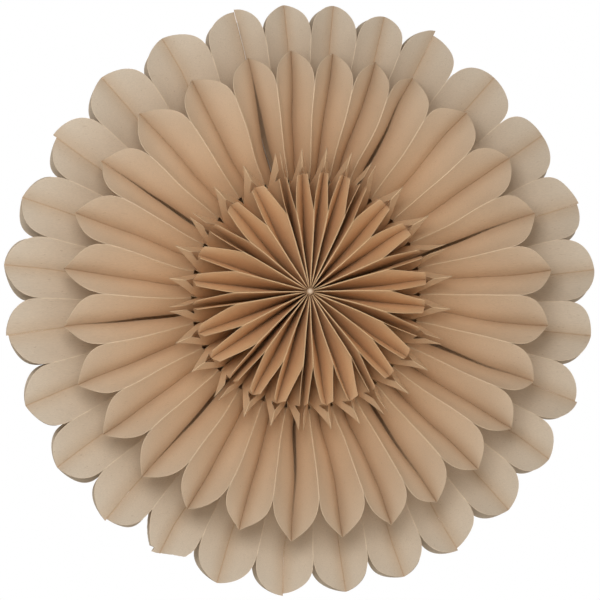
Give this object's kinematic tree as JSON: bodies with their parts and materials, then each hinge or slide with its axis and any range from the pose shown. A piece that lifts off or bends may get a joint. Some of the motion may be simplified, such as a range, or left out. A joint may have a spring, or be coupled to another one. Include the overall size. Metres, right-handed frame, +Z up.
{
  "type": "paper star",
  "caption": "Double-sided honeycomb rosette of die-cut kraft paper sheets, with pointed inner star, middle leaves and round outer petals, hung as a decoration.",
  "frame": {"origin": "centre of the star: on its axis, in the mid-plane between front and back", "axes": "+Z up as it hangs, the front of the star faces -Y, +X to the right seen from the front"},
  "size_m": [0.3979, 0.146, 0.3992],
  "materials": {
    "paper": "matte",
    "glue": "satin",
    "strip": "satin"
  },
  "bodies": {
    "root": {"sheet_01": "paper", "sheet_02": "paper", "sheet_03": "paper", "sheet_04": "paper", "sheet_05": "paper", "sheet_06": "paper", "sheet_07": "paper", "sheet_08": "paper", "sheet_09": "paper", "sheet_10": "paper", "sheet_11": "paper", "sheet_12": "paper", "sheet_13": "paper", "sheet_14": "paper", "sheet_15": "paper", "sheet_16": "paper", "sheet_17": "paper", "sheet_18": "paper", "sheet_19": "paper", "sheet_20": "paper", "sheet_21": "paper", "sheet_22": "paper", "sheet_23": "paper", "sheet_24": "paper", "sheet_25": "paper", "sheet_26": "paper", "sheet_27": "paper", "sheet_28": "paper", "sheet_29": "paper", "sheet_30": "paper", "sheet_31": "paper", "sheet_32": "paper", "sheet_33": "paper", "sheet_34": "paper", "sheet_35": "paper", "sheet_36": "paper", "sheet_37": "paper", "sheet_38": "paper", "sheet_39": "paper", "sheet_40": "paper", "sheet_41": "paper", "sheet_42": "paper", "sheet_43": "paper", "sheet_44": "paper", "sheet_45": "paper", "sheet_46": "paper", "sheet_47": "paper", "sheet_48": "paper", "sheet_49": "paper", "sheet_50": "paper", "sheet_51": "paper", "sheet_52": "paper", "sheet_53": "paper", "sheet_54": "paper", "sheet_55": "paper", "sheet_56": "paper", "glue_spine": "glue", "closing_strip": "strip"}
  },
  "joints": []
}
